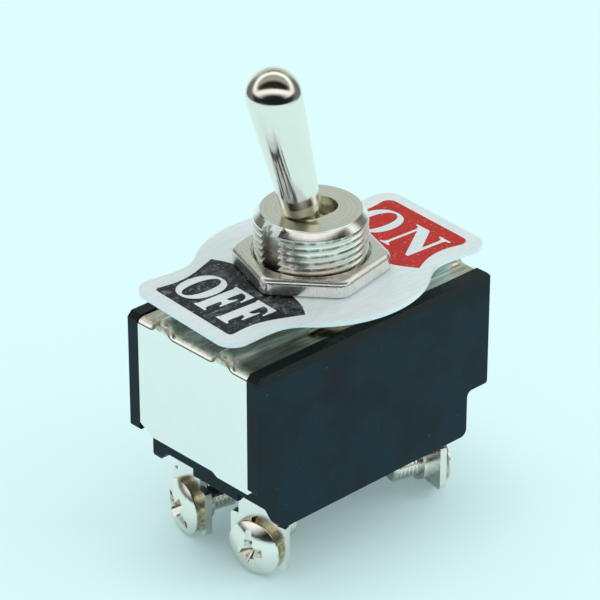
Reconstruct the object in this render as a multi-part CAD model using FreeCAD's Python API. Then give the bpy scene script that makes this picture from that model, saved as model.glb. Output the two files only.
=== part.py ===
import FreeCAD, Part
import math
import os

# Panel toggle switch, two poles, on and off, with four screw terminals.
# Millimetres. The origin is on the surface that the switch stands on, under the
# axis of the threaded bushing. +X runs to the ON end, +Z up to the lever's tip.

# The screw heads, which the switch stands on, reach this far below the housing's floor
TERMINAL_REACH = 8.85

# Moulded housing, with heights from the underside of its floor, and the partition's from the fulcrums
BODY_LENGTH = 33.1
BODY_WIDTH = 19.3
BODY_HEIGHT = 17.2
WALL = 1.45
FLOOR = 1.5
STEP_RISE = 3.8
END_OVERHANG = 3.0
SKIRT_DROP = 1.45
SKIRT_DRAFT = 1.4
RIB_WIDTH = 6.8
RIB_DROP = 0.9
TOP_CORNER = 0.55
STEP_ROUND = 0.7
SKIRT_ROUND = 0.8
LEDGE_ROUND = 0.3
SEAT_ROUND = 0.5
END_WALL = 1.6
FOOT_END_WALL = 0.95
PARTITION = 1.6
PARTITION_RISE = 2.25

# Metal cover folded over the top and both ends, between the side walls
COVER_SHEET = 0.8
COVER_SINK = 0.15
COVER_GAP = 0.05
COVER_STANDS_IN = 0.05
BEND_ROUND = 0.85
BEND_INSIDE = 0.2
BEAD_SPACING = 9.0
BEAD_FOOT = 3.0
BEAD_HEIGHT = 0.95
BEAD_FOOT_ROUND = 0.9
BEAD_CREST_ROUND = 1.1
FLAP_CORNER = 1.0
FLAP_CORNER_RUN = 1.85
FLAP_LIP = 0.4
FLAP_LIP_START = 2.9
FLAP_LIP_END = 3.6

# Threaded bushing: the radius of the thread's crests, and of the line on which the nuts' threads meet it
THREAD_RADIUS = 5.9
THREAD_MEETS = 5.66
BUSHING_RISE = 9.75
FLANGE_RADIUS = 7.2
FLANGE = 1.15
BUSHING_CHAMFER = 1.0
BUSHING_CHAMFER_DEPTH = 0.6
KEYWAY_WIDTH = 2.4
KEYWAY_DEPTH = 0.95
SLOT_LENGTH = 5.9
SLOT_WIDTH = 4.4
BORE_MOUTH = 4.6
THROAT_LENGTH = 2.8

# Lever, with heights measured from its pivot
PIVOT_DEPTH = 4.3
LEAN = 15.5
BALL_RADIUS = 3.35
SEAT_GAP = 0.1
TIP_RADIUS = 2.85
TIP_HEIGHT = 19.2
NECK_RADIUS = 1.6
NECK_HEIGHT = 5.0
BAT_START_RADIUS = 2.05
BAT_START_HEIGHT = 5.2
STEM_RADIUS = 1.5
STEM_END = 0.2

# Pivot pin
PIN_RADIUS = 0.8
PIN_HALF_LENGTH = 4.75
PIN_GAP = 0.05
PIN_END_GAP = 0.05

# Nuts and legend plate
NUT_FLATS = 14.5
NUT = 1.8
NUT_CORNER = 1.6
NUT_ROUND = 0.55
NUT_BEVEL = 0.2
NUT_COUNTERSINK = 0.5
NUT_TURN = 10.9
BACK_NUT = 1.8
THREAD_GAP = 0.05
PLATE = 0.5
PLATE_LENGTH = 34.4
PLATE_END_WIDTH = 16.4
PLATE_WAIST = 15.6
PLATE_WAIST_PLACE = 12.4
PLATE_ROUND = 12.2
PLATE_INNER_ROUND = 4.5
PLATE_CORNER = 2.0
PLATE_TURN = -4.0
PLATE_HOLE_GAP = 0.35
PLATE_SHIFT = -0.25

# Insulating carrier on the lever's stem, under the flange, and the sprung plungers that stand out of it
POLE_SPACING = 9.2
CARRIER_CLEAR = 1.5
CARRIER = 4.3
CARRIER_LENGTH = 6.0
CARRIER_WIDTH = 12.8
CARRIER_ROUND = 0.6
STEM_GAP = 0.02
PLUNGER_RADIUS = 1.1
PLUNGER_GAP = 0.05
PLUNGER_BORE_DEPTH = 3.5
PLUNGER_TIP_RADIUS = 0.9
PLUNGER_TIP_OUT = 1.3
PLUNGER_SHOULDER_OUT = 0.4
SPRING_LENGTH = 1.9
SPRING_WIRE = 0.22
SPRING_TURNS = 3.5
SPRING_END_GAP = 0.03

# Rocking contacts and their fulcrums, which stay clear under the plungers' tips
ROCKER_RISE = 16.0
ROCKER_TILT = 8.0
ROCKER_SHEET = 0.8
ROCKER_WIDTH = 3.4
CONTACT_ARM = 8.2
STOP_ARM = 6.6
FULCRUM_CLEAR = 1.95
FULCRUM_RADIUS = 0.4
FULCRUM_GAP = 0.05
FULCRUM_WIDTH = 3.0
SADDLE = 0.15
CONTACT_PLACE = 7.3
CONTACT_RADIUS = 1.3
CONTACT_FACE_RADIUS = 0.9
CONTACT_HEIGHT = 0.6
CONTACT_SHANK = 0.7
CONTACT_TAIL = 0.25
CONTACT_TAIL_RADIUS = 1.0
FIXED_TAIL = 0.3
FIXED_TAIL_RADIUS = 1.0
CONTACT_GAP = 0.08
STOP_GAP = 0.25

# Terminals: blades splayed about the vertical, a strip inside each
TERMINAL_INSET = 1.05
TERMINAL_SPACING_Y = 10.6
TERMINAL_SPLAY = 12.6
TERMINAL_SHEET = 0.8
TAB_WIDTH = 6.8
TAB_TOP = 6.2
TAB_BOTTOM = 0.95
TAB_CORNER = 0.6
TERMINAL_NECK = 4.8
TERMINAL_BEND = 0.5
STRIP_WIDTH = 3.6
STRIP_START = 2.4
TERMINAL_SLOT_GAP = 0.08
FIXED_STRIP_END = 5.9
COLLAR_RADIUS = 2.1
COLLAR = 1.1

# Terminal screws and lock washers
SCREW_HEIGHT = 3.3
SCREW_RADIUS = 1.5
SCREW_LENGTH = 5.8
SCREW_POINT = 0.3
SCREW_GAP = 0.05
HEAD_RADIUS = 3.3
HEAD_RIM = 0.35
HEAD_HEIGHT = 1.5
DRIVE_WIDTH = 0.8
DRIVE_DEPTH = 1.0
CROSS_LENGTH = 4.0
SCREW_TURNS = {"near_off": 96.0, "far_off": 12.0, "near_on": 60.0, "far_on": 140.0}
WASHER = 0.6
WASHER_INNER = 1.65
WASHER_OUTER = 3.0
WASHER_SPLIT = 0.45

# Heights worked out from the sizes above
UNDERSIDE = TERMINAL_REACH
SKIRT = UNDERSIDE - SKIRT_DROP
INSIDE_FLOOR = UNDERSIDE + FLOOR
STEP = UNDERSIDE + STEP_RISE
BODY_TOP = UNDERSIDE + BODY_HEIGHT
COVER_TOP = BODY_TOP - COVER_SINK
COVER_UNDER = COVER_TOP - COVER_SHEET
BEAD_TOP = COVER_TOP + BEAD_HEIGHT
PLATE_UNDER = BEAD_TOP + BACK_NUT
PLATE_TOP = PLATE_UNDER + PLATE
NUT_TOP = PLATE_TOP + NUT
BUSHING_TOP = COVER_TOP + BUSHING_RISE
FLANGE_UNDER = COVER_UNDER - FLANGE
PIVOT = BUSHING_TOP - PIVOT_DEPTH

# The mechanism hangs under the bushing's flange: carrier and plungers by their distance below the pivot
CARRIER_TOP = PIVOT - FLANGE_UNDER + CARRIER_CLEAR
CARRIER_BOTTOM = CARRIER_TOP + CARRIER
PLUNGER_SHOULDER = CARRIER_BOTTOM + PLUNGER_SHOULDER_OUT
PLUNGER_TIP_DROP = CARRIER_BOTTOM + PLUNGER_TIP_OUT
FULCRUM = PIVOT - PLUNGER_TIP_DROP - FULCRUM_CLEAR
PARTITION_TOP = FULCRUM + PARTITION_RISE

# Half sizes and places used by more than one piece
HALF_LENGTH = BODY_LENGTH / 2
HALF_WIDTH = BODY_WIDTH / 2
HALF_FOOT = HALF_LENGTH - END_OVERHANG
HALF_INSIDE = HALF_WIDTH - WALL
COVER_FACE = HALF_LENGTH - COVER_STANDS_IN
COVER_HALF_WIDTH = HALF_INSIDE - COVER_GAP
END_FACE = COVER_FACE - COVER_SHEET
CHAMBER_END = HALF_FOOT - FOOT_END_WALL
POLE_Y = POLE_SPACING / 2
TERMINAL_X = HALF_FOOT - TERMINAL_INSET
TERMINAL_Y = TERMINAL_SPACING_Y / 2
OVER = 1.0

CLOSED_RISE = math.radians(ROCKER_RISE - ROCKER_TILT)
CONTACT_DROP = SADDLE * math.cos(math.radians(ROCKER_RISE)) + CONTACT_HEIGHT
CLOSED_FACE = (FULCRUM + CONTACT_PLACE * math.sin(CLOSED_RISE) - CONTACT_DROP * math.cos(CLOSED_RISE)
               - CONTACT_FACE_RADIUS * math.sin(CLOSED_RISE))
FIXED_FACE = CLOSED_FACE - CONTACT_GAP
FIXED_STRIP_TOP = FIXED_FACE - CONTACT_HEIGHT
FIXED_LEDGE = FIXED_STRIP_TOP - TERMINAL_SHEET
FIXED_CONTACT_X = (CONTACT_PLACE * math.cos(CLOSED_RISE) + CONTACT_DROP * math.sin(CLOSED_RISE))
STOP_START = STOP_ARM - OVER
STOP_LEDGE = (FULCRUM - SADDLE * math.cos(math.radians(ROCKER_RISE)) / math.cos(CLOSED_RISE)
              + STOP_START * math.tan(CLOSED_RISE) - STOP_GAP)
STRIP_ROOM = 0.6


def vec(x, y, z):
    return FreeCAD.Vector(x, y, z)


ORIGIN = vec(0, 0, 0)
X_AXIS = vec(1, 0, 0)
Y_AXIS = vec(0, 1, 0)
Z_AXIS = vec(0, 0, 1)
LEVER_PIVOT = vec(0, 0, PIVOT)
ROCKER_PIVOT = vec(0, 0, FULCRUM)


def box(x, y, z):
    """A box from three pairs of low and high limits."""
    low = vec(min(x), min(y), min(z))
    return Part.makeBox(abs(x[1] - x[0]), abs(y[1] - y[0]), abs(z[1] - z[0]), low)


def rod(radius, start, end):
    """A cylinder from one point to another."""
    return Part.makeCylinder(radius, (end - start).Length, start, end - start)


def corner_cut(before, corner, after, radius):
    """Where a corner's round starts, its middle and where it ends."""
    to_before = (before - corner).normalize()
    to_after = (after - corner).normalize()
    half = to_before.getAngle(to_after) / 2
    reach = radius / math.tan(half)
    inward = (to_before + to_after).normalize()
    middle = corner + inward * (radius / math.sin(half) - radius)
    return corner + to_before * reach, middle, corner + to_after * reach


def outline(corners, place):
    """A face from corners (u, v, radius), where place turns u and v into a point."""
    points = [place(u, v) for u, v, radius in corners]
    cuts = []
    for index, (u, v, radius) in enumerate(corners):
        if radius:
            after = points[(index + 1) % len(points)]
            cuts.append(corner_cut(points[index - 1], points[index], after, radius))
        else:
            cuts.append((points[index], None, points[index]))
    edges = []
    for index, (start, middle, end) in enumerate(cuts):
        if middle:
            edges.append(Part.Arc(start, middle, end).toShape())
        next_start = cuts[(index + 1) % len(cuts)][0]
        if (next_start - end).Length > 1e-6:
            edges.append(Part.LineSegment(end, next_start).toShape())
    return Part.Face(Part.Wire(edges))


def plan(corners, low, high):
    """An outline in X and Y, drawn up between two heights."""
    return outline(corners, lambda u, v: vec(u, v, low)).extrude(Z_AXIS * (high - low))


def side_view(corners, half_width):
    """An outline in X and Z, drawn out to both sides of the middle."""
    face = outline(corners, lambda u, v: vec(u, -half_width, v))
    return face.extrude(Y_AXIS * (2 * half_width))


def end_view(corners, half_length):
    """An outline in Y and Z, drawn out along X to both ends."""
    face = outline(corners, lambda u, v: vec(-half_length, u, v))
    return face.extrude(X_AXIS * (2 * half_length))


def turned(edges):
    """A solid turned about Z from edges that form a closed half section."""
    face = Part.Face(Part.Wire(edges))
    return face.revolve(ORIGIN, Z_AXIS, 360)


def half_section(points):
    """Straight edges through (radius, height) points."""
    corners = [vec(radius, 0, height) for radius, height in points]
    pairs = zip(corners[:-1], corners[1:])
    return [Part.LineSegment(start, end).toShape() for start, end in pairs]


def arc(start, middle, end):
    """One arc of a half section through three (radius, height) points."""
    places = [vec(radius, 0, height) for radius, height in (start, middle, end)]
    return Part.Arc(*places).toShape()


def mirrored(shape, across_x, across_y):
    """The shape, mirrored to the other end, the other side or both."""
    if across_x:
        shape = shape.mirror(ORIGIN, X_AXIS)
    if across_y:
        shape = shape.mirror(ORIGIN, Y_AXIS)
    return shape


def leaned(shape):
    """A piece drawn with the lever upright, leaned over to the OFF end."""
    shape = shape.copy()
    shape.rotate(LEVER_PIVOT, Y_AXIS, -LEAN)
    return shape


def splayed(shape):
    """A piece drawn on a blade that faces +X, moved to its place on the housing."""
    shape = shape.copy()
    shape.rotate(ORIGIN, Z_AXIS, TERMINAL_SPLAY)
    shape.translate(vec(TERMINAL_X, TERMINAL_Y, 0))
    return shape


def one_solid(shape):
    """The shape with merged faces, as a plain solid."""
    shape = shape.removeSplitter()
    return shape.Solids[0] if len(shape.Solids) == 1 else shape


def save(name, shape):
    shape = one_solid(shape)
    if not shape.isValid():
        raise ValueError(name + " is not a valid solid")
    shape.exportStep("parts/" + name + ".step")
    print(name, len(shape.Solids), "solid", round(shape.Volume, 2), "mm3")


# Housing
def housing_outside():
    """Side view with the narrow foot, then the seat for the metal cover."""
    corners = []
    for side in (1, -1):
        half = [
            (side * HALF_FOOT, SKIRT, SKIRT_ROUND),
            (side * HALF_FOOT, STEP, STEP_ROUND),
            (side * HALF_LENGTH, STEP, LEDGE_ROUND),
            (side * HALF_LENGTH, BODY_TOP - TOP_CORNER, 0),
            (side * (HALF_LENGTH - TOP_CORNER), BODY_TOP, 0),
        ]
        corners += half if side > 0 else half[::-1]
    shape = side_view(corners, HALF_WIDTH)
    outer = HALF_LENGTH + OVER
    seat = [(-outer, STEP - OVER, 0), (-END_FACE, STEP - OVER, 0), (-END_FACE, COVER_UNDER, SEAT_ROUND),
            (END_FACE, COVER_UNDER, SEAT_ROUND), (END_FACE, STEP - OVER, 0), (outer, STEP - OVER, 0),
            (outer, BODY_TOP + OVER, 0), (-outer, BODY_TOP + OVER, 0)]
    return shape.cut(side_view(seat, HALF_INSIDE))


def underside_cuts():
    """Recesses each side of the middle rib, and the rib's own lower face."""
    low = SKIRT - OVER
    slope = SKIRT_DRAFT / SKIRT_DROP
    foot = HALF_INSIDE + SKIRT_DRAFT / 2
    cuts = [box((-HALF_LENGTH, HALF_LENGTH), (-RIB_WIDTH / 2, RIB_WIDTH / 2), (low, UNDERSIDE - RIB_DROP))]
    for side in (-1, 1):
        corners = [
            (side * RIB_WIDTH / 2, low, 0),
            (side * RIB_WIDTH / 2, UNDERSIDE, 0),
            (side * (foot - SKIRT_DRAFT), UNDERSIDE, 0),
            (side * (foot + slope * OVER), low, 0),
        ]
        cuts.append(end_view(corners, HALF_LENGTH))
    return cuts


def chamber(side):
    """Room for one pole: the rocker, the ledges under its arms and the terminal strips."""
    inner = side * PARTITION / 2
    outer = side * HALF_INSIDE
    across = (inner, outer)
    fixed_end = FIXED_STRIP_END - STRIP_ROOM
    tunnel = (side * (POLE_Y - STRIP_WIDTH / 2 - STRIP_ROOM), side * (HALF_INSIDE - STRIP_ROOM / 2))
    rooms = [
        box((-CHAMBER_END, CHAMBER_END), across, (STOP_LEDGE, PARTITION_TOP)),
        box((-CHAMBER_END, STOP_START), across, (FIXED_LEDGE, STOP_LEDGE)),
        box((-fixed_end, STOP_START), across, (INSIDE_FLOOR, FIXED_LEDGE)),
        box((STOP_START - OVER, CHAMBER_END), tunnel, (INSIDE_FLOOR, INSIDE_FLOOR + TERMINAL_SHEET + STRIP_ROOM)),
    ]
    room = rooms[0]
    for more in rooms[1:]:
        room = room.fuse(more)
    return room


def terminal_slot(top):
    """The slot that a blade's neck passes up through, before it is placed."""
    gap = TERMINAL_SLOT_GAP
    half = TERMINAL_NECK / 2 + gap
    return box((-TERMINAL_SHEET - gap, gap), (-half, half), (SKIRT - OVER, top))


def housing():
    shape = housing_outside()
    for cut in underside_cuts():
        shape = shape.cut(cut)
    hall = END_FACE - END_WALL
    shape = shape.cut(box((-hall, hall), (-HALF_INSIDE, HALF_INSIDE), (PARTITION_TOP, BODY_TOP)))
    tunnel_top = INSIDE_FLOOR + TERMINAL_SHEET + STRIP_ROOM
    for side in (-1, 1):
        shape = shape.cut(chamber(side))
        shape = shape.cut(mirrored(splayed(terminal_slot(STOP_LEDGE)), True, side < 0))
        shape = shape.cut(mirrored(splayed(terminal_slot(tunnel_top)), False, side < 0))
    return shape


# Metal cover
def bead_outline(top, extra):
    """Corners across the cover's top, over both stiffening beads."""
    corners = []
    for side in (-1, 1):
        middle = side * BEAD_SPACING / 2
        foot = BEAD_FOOT / 2 - extra
        crest = foot - BEAD_HEIGHT
        bead = [
            (middle - foot, top, BEAD_FOOT_ROUND),
            (middle - crest, top + BEAD_HEIGHT, BEAD_CREST_ROUND),
            (middle + crest, top + BEAD_HEIGHT, BEAD_CREST_ROUND),
            (middle + foot, top, BEAD_FOOT_ROUND),
        ]
        corners += bead
    return corners


def cover_block(half_width, top, bottom, half_length, bend):
    """A solid with the beaded top and rounded top ends."""
    corners = [(half_width, bottom, 0), (-half_width, bottom, 0), (-half_width, top, 0)]
    corners += bead_outline(top, 0)
    corners.append((half_width, top, 0))
    shape = end_view(corners, half_length)
    rim = [edge for edge in shape.Edges if on_end_rim(edge, half_length, top)]
    return shape.makeFillet(bend, rim)


def on_end_rim(edge, half_length, top):
    """True for the edges that run across the top of an end."""
    box_of = edge.BoundBox
    at_end = box_of.XLength < 1e-6 and abs(abs(box_of.XMax) - half_length) < 1e-6
    return at_end and box_of.ZMin > top - 1e-6


def flap_bottom():
    """What is cut away below a flap: one corner, and a step to a longer lip."""
    low = STEP - 3 * OVER
    edge = STEP - COVER_GAP
    corners = [
        (-COVER_HALF_WIDTH - OVER, edge - FLAP_LIP, 0),
        (-FLAP_LIP_END, edge - FLAP_LIP, 0),
        (-FLAP_LIP_START, edge, 0),
        (COVER_HALF_WIDTH - FLAP_CORNER_RUN, edge, 0),
        (COVER_HALF_WIDTH, edge + FLAP_CORNER, 0),
        (COVER_HALF_WIDTH + OVER, edge + FLAP_CORNER, 0),
        (COVER_HALF_WIDTH + OVER, low, 0),
        (-COVER_HALF_WIDTH - OVER, low, 0),
    ]
    return outline(corners, lambda u, v: vec(-HALF_LENGTH - OVER, u, v)).extrude(X_AXIS * HALF_LENGTH)


def cover():
    low = STEP - 2 * OVER
    outside = cover_block(COVER_HALF_WIDTH, COVER_TOP, low, COVER_FACE, BEND_ROUND)
    inside = cover_block(COVER_HALF_WIDTH + OVER, COVER_UNDER, low - OVER, END_FACE, BEND_INSIDE)
    shape = outside.cut(inside)
    off_flap = flap_bottom()
    on_flap = off_flap.copy()
    on_flap.rotate(ORIGIN, Z_AXIS, 180)
    shape = shape.cut(off_flap).cut(on_flap)
    hole = rod(THREAD_RADIUS + THREAD_GAP, vec(0, 0, COVER_UNDER - OVER), vec(0, 0, BEAD_TOP + OVER))
    return shape.cut(hole)


# Bushing
def bushing_bore():
    """Mouth for the stem's swing, throat for the ball and the round seat above it."""
    seat = BALL_RADIUS + SEAT_GAP
    slant = math.sqrt(0.5) * seat
    edges = half_section([
        (0, PIVOT + seat),
        (0, FLANGE_UNDER - OVER),
        (BORE_MOUTH, FLANGE_UNDER - OVER),
        (BORE_MOUTH, FLANGE_UNDER),
        (seat, PIVOT - THROAT_LENGTH),
        (seat, PIVOT),
    ])
    edges.append(arc((seat, PIVOT), (slant, PIVOT + slant), (0, PIVOT + seat)))
    return turned(edges)


def lever_slot():
    """Round-ended slot along X in the bushing's top, which stops the lever."""
    half_width = SLOT_WIDTH / 2
    corners = [(u * SLOT_LENGTH / 2, v * half_width, half_width * 0.999)
               for u, v in ((-1, -1), (1, -1), (1, 1), (-1, 1))]
    return plan(corners, PIVOT, BUSHING_TOP + OVER)


def bushing():
    shape = turned(half_section([
        (0, FLANGE_UNDER),
        (FLANGE_RADIUS, FLANGE_UNDER),
        (FLANGE_RADIUS, COVER_UNDER),
        (THREAD_RADIUS, COVER_UNDER),
        (THREAD_RADIUS, BEAD_TOP),
        (THREAD_MEETS, BEAD_TOP),
        (THREAD_MEETS, NUT_TOP + THREAD_GAP),
        (THREAD_RADIUS, NUT_TOP + THREAD_GAP),
        (THREAD_RADIUS, BUSHING_TOP - BUSHING_CHAMFER_DEPTH),
        (THREAD_RADIUS - BUSHING_CHAMFER, BUSHING_TOP),
        (0, BUSHING_TOP),
        (0, FLANGE_UNDER),
    ]))
    shape = shape.cut(bushing_bore()).cut(lever_slot())
    key_floor = THREAD_RADIUS - KEYWAY_DEPTH
    half_key = KEYWAY_WIDTH / 2
    keyway = box((-THREAD_RADIUS - OVER, -key_floor), (-half_key, half_key), (BEAD_TOP, BUSHING_TOP + OVER))
    shape = shape.cut(keyway)
    reach = PIN_HALF_LENGTH + PIN_END_GAP
    pin_way = PIN_RADIUS + PIN_GAP
    entry = box((-pin_way, pin_way), (-reach, reach), (FLANGE_UNDER - OVER, PIVOT))
    seat = rod(pin_way, vec(0, -reach, PIVOT), vec(0, reach, PIVOT))
    return shape.cut(entry.fuse(seat))


def pivot_pin():
    return rod(PIN_RADIUS, vec(0, -PIN_HALF_LENGTH, PIVOT), vec(0, PIN_HALF_LENGTH, PIVOT))


# Lever, drawn upright about its pivot and then leaned over
def lever():
    below = math.sqrt(BALL_RADIUS ** 2 - STEM_RADIUS ** 2)
    above = math.sqrt(BALL_RADIUS ** 2 - NECK_RADIUS ** 2)
    stem_end = -CARRIER_BOTTOM + STEM_END
    slant = math.sqrt(0.5) * TIP_RADIUS
    edges = half_section([(0, TIP_HEIGHT + TIP_RADIUS), (0, stem_end), (STEM_RADIUS, stem_end),
                          (STEM_RADIUS, -below)])
    edges.append(arc((STEM_RADIUS, -below), (BALL_RADIUS, 0), (NECK_RADIUS, above)))
    edges += half_section([(NECK_RADIUS, above), (NECK_RADIUS, NECK_HEIGHT),
                           (BAT_START_RADIUS, BAT_START_HEIGHT), (TIP_RADIUS, TIP_HEIGHT)])
    edges.append(arc((TIP_RADIUS, TIP_HEIGHT), (slant, TIP_HEIGHT + slant), (0, TIP_HEIGHT + TIP_RADIUS)))
    shape = turned(edges)
    pin_hole = rod(PIN_RADIUS + PIN_GAP, vec(0, -BALL_RADIUS - OVER, 0), vec(0, BALL_RADIUS + OVER, 0))
    shape = shape.cut(pin_hole)
    shape.translate(LEVER_PIVOT)
    return leaned(shape)


def carrier():
    """Moulded block on the stem, with a blind bore from below for each plunger."""
    top = PIVOT - CARRIER_TOP
    bottom = PIVOT - CARRIER_BOTTOM
    half_x = CARRIER_LENGTH / 2
    half_y = CARRIER_WIDTH / 2
    corners = [(u * half_x, v * half_y, CARRIER_ROUND) for u, v in ((-1, -1), (1, -1), (1, 1), (-1, 1))]
    shape = plan(corners, bottom, top)
    shape = shape.cut(rod(STEM_RADIUS + STEM_GAP, vec(0, 0, bottom - OVER), vec(0, 0, top + OVER)))
    for side in (-1, 1):
        y = side * POLE_Y
        bore = rod(PLUNGER_RADIUS + PLUNGER_GAP, vec(0, y, bottom - OVER), vec(0, y, bottom + PLUNGER_BORE_DEPTH))
        shape = shape.cut(bore)
    return leaned(shape)


def plunger_top():
    return -CARRIER_BOTTOM + PLUNGER_BORE_DEPTH - SPRING_LENGTH


def plunger(side):
    """Guided head with a slimmer round-ended tip that rides on the rocker."""
    tip = -PLUNGER_TIP_DROP
    slant = math.sqrt(0.5) * PLUNGER_TIP_RADIUS
    edges = half_section([
        (0, tip - PLUNGER_TIP_RADIUS),
        (0, plunger_top()),
        (PLUNGER_RADIUS, plunger_top()),
        (PLUNGER_RADIUS, -PLUNGER_SHOULDER),
        (PLUNGER_TIP_RADIUS, -PLUNGER_SHOULDER),
        (PLUNGER_TIP_RADIUS, tip),
    ])
    edges.append(arc((PLUNGER_TIP_RADIUS, tip), (slant, tip - slant), (0, tip - PLUNGER_TIP_RADIUS)))
    shape = turned(edges)
    shape.translate(vec(0, side * POLE_Y, PIVOT))
    return leaned(shape)


def plunger_spring(side):
    """Coil of eight-sided wire between the blind end of the bore and the plunger's head."""
    radius = PLUNGER_RADIUS - SPRING_WIRE
    ends = SPRING_WIRE / 2 + SPRING_END_GAP
    length = SPRING_LENGTH - 2 * ends
    helix = Part.makeHelix(length / SPRING_TURNS, length, radius)
    angles = [math.radians(45 * k) for k in range(8)]
    half = SPRING_WIRE / 2
    corners = [vec(radius + half * math.cos(a), 0, half * math.sin(a)) for a in angles]
    wire = Part.makePolygon(corners + corners[:1])
    shape = Part.Wire(helix.Edges).makePipeShell([wire], True, True)
    shape.translate(vec(0, side * POLE_Y, PIVOT + plunger_top() + ends))
    return leaned(shape)


# Rocking contacts, drawn level and then tipped on to the stop
def tipped(shape):
    shape.rotate(ROCKER_PIVOT, Y_AXIS, ROCKER_TILT)
    return shape


def rocker(side):
    """Bent strip on a knife edge, with its arms rising to both ends."""
    rise = math.radians(ROCKER_RISE)
    low = FULCRUM - SADDLE
    thick = ROCKER_SHEET / math.cos(rise)
    lift = ROCKER_SHEET * math.sin(rise)
    up = ROCKER_SHEET * math.cos(rise)
    contact_x = -CONTACT_ARM * math.cos(rise)
    contact_z = low + CONTACT_ARM * math.sin(rise)
    stop_x = STOP_ARM * math.cos(rise)
    stop_z = low + STOP_ARM * math.sin(rise)
    corners = [(0, low, 0), (stop_x, stop_z, 0), (stop_x - lift, stop_z + up, 0), (0, low + thick, 0),
               (contact_x + lift, contact_z + up, 0), (contact_x, contact_z, 0)]
    shape = side_view(corners, ROCKER_WIDTH / 2)
    half = ROCKER_WIDTH / 2 + OVER
    notch = rod(FULCRUM_RADIUS + FULCRUM_GAP, vec(0, -half, FULCRUM), vec(0, half, FULCRUM))
    shape = shape.cut(notch)
    hole = on_contact_arm(rod(CONTACT_SHANK + STEM_GAP, vec(0, 0, -OVER), vec(0, 0, 2 * ROCKER_SHEET)))
    shape = shape.cut(hole)
    shape.translate(vec(0, side * POLE_Y, 0))
    return tipped(shape)


def on_contact_arm(shape):
    """Moves a piece drawn at the origin to the underside of the contact arm."""
    shape.translate(vec(-CONTACT_PLACE, 0, FULCRUM - SADDLE * math.cos(math.radians(ROCKER_RISE))))
    shape.rotate(ROCKER_PIVOT, Y_AXIS, ROCKER_RISE)
    return shape


def rivet(sheet, tail, tail_radius):
    """Contact rivet with its face up: tapered head, shank and tail below the sheet."""
    return turned(half_section([
        (0, CONTACT_HEIGHT),
        (0, -sheet - tail),
        (tail_radius, -sheet - tail),
        (tail_radius, -sheet),
        (CONTACT_SHANK, -sheet),
        (CONTACT_SHANK, 0),
        (CONTACT_RADIUS, 0),
        (CONTACT_FACE_RADIUS, CONTACT_HEIGHT),
        (0, CONTACT_HEIGHT),
    ]))


def rocker_contact(side):
    shape = rivet(ROCKER_SHEET, CONTACT_TAIL, CONTACT_TAIL_RADIUS)
    shape.rotate(ORIGIN, X_AXIS, 180)
    shape = on_contact_arm(shape)
    shape.translate(vec(0, side * POLE_Y, 0))
    return tipped(shape)


def fixed_contact(side):
    """Its tail fills a shallow countersink under the strip."""
    shape = rivet(TERMINAL_SHEET - FIXED_TAIL, FIXED_TAIL, FIXED_TAIL_RADIUS)
    shape.translate(vec(-FIXED_CONTACT_X, side * POLE_Y, FIXED_STRIP_TOP))
    return shape


# Terminals, drawn for the ON end's +Y side and mirrored to the others
def blade(top):
    """Wide tab, neck, screw hole and the collar drawn out of its inner side."""
    half = TAB_WIDTH / 2
    neck = TERMINAL_NECK / 2
    corners = [(-half, TAB_BOTTOM, TAB_CORNER), (half, TAB_BOTTOM, TAB_CORNER), (half, TAB_TOP, TAB_CORNER / 2),
               (neck, TAB_TOP, 0), (neck, top, 0), (-neck, top, 0), (-neck, TAB_TOP, 0),
               (-half, TAB_TOP, TAB_CORNER / 2)]
    sheet = outline(corners, lambda u, v: vec(-TERMINAL_SHEET, u, v)).extrude(X_AXIS * TERMINAL_SHEET)
    inner = -TERMINAL_SHEET - COLLAR
    collar = rod(COLLAR_RADIUS, vec(inner, 0, SCREW_HEIGHT), vec(-TERMINAL_SHEET / 2, 0, SCREW_HEIGHT))
    hole = rod(SCREW_RADIUS + SCREW_GAP, vec(inner - OVER, 0, SCREW_HEIGHT), vec(OVER, 0, SCREW_HEIGHT))
    return sheet.fuse(collar).cut(hole)


def strip(end_x, top):
    """The level strip inside the housing, from the splayed neck to the pole's line."""
    angle = math.radians(TERMINAL_SPLAY)
    neck = TERMINAL_NECK / 2
    ends = [(TERMINAL_X - side * neck * math.sin(angle), TERMINAL_Y + side * neck * math.cos(angle), 0)
            for side in (1, -1)]
    shoulder = TERMINAL_X - STRIP_START
    low_y = POLE_Y - STRIP_WIDTH / 2
    high_y = POLE_Y + STRIP_WIDTH / 2
    corners = ends + [(shoulder, low_y, 0), (end_x, low_y, 0), (end_x, high_y, 0), (shoulder, high_y, 0)]
    return plan(corners, top - TERMINAL_SHEET, top)


def bent(blade_shape, strip_shape, top):
    """Blade and strip as one piece with a rounded bend."""
    shape = blade_shape.fuse(strip_shape).removeSplitter()
    fold = [edge for edge in shape.Edges if on_fold(edge, top)]
    return shape.makeFillet(TERMINAL_BEND, fold)


def on_fold(edge, top):
    """True for the outer edge where the neck turns into the strip."""
    limits = edge.BoundBox
    level = abs(limits.ZMin - top) < 1e-6 and abs(limits.ZMax - top) < 1e-6
    middle = edge.CenterOfMass
    near = math.hypot(middle.x - TERMINAL_X, middle.y - TERMINAL_Y) < TERMINAL_SHEET / 4
    return level and near


def fixed_terminal(side):
    """OFF end: carries the fixed contact on the ledge."""
    shape = bent(splayed(blade(FIXED_STRIP_TOP)), strip(FIXED_STRIP_END, FIXED_STRIP_TOP), FIXED_STRIP_TOP)
    place = vec(FIXED_CONTACT_X, POLE_Y, FIXED_LEDGE)
    shape = shape.cut(rod(CONTACT_SHANK + STEM_GAP, place, place + Z_AXIS * 2 * TERMINAL_SHEET))
    shape = shape.cut(rod(FIXED_TAIL_RADIUS + STEM_GAP, place - Z_AXIS, place + Z_AXIS * FIXED_TAIL))
    return mirrored(shape, True, side < 0)


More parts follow.
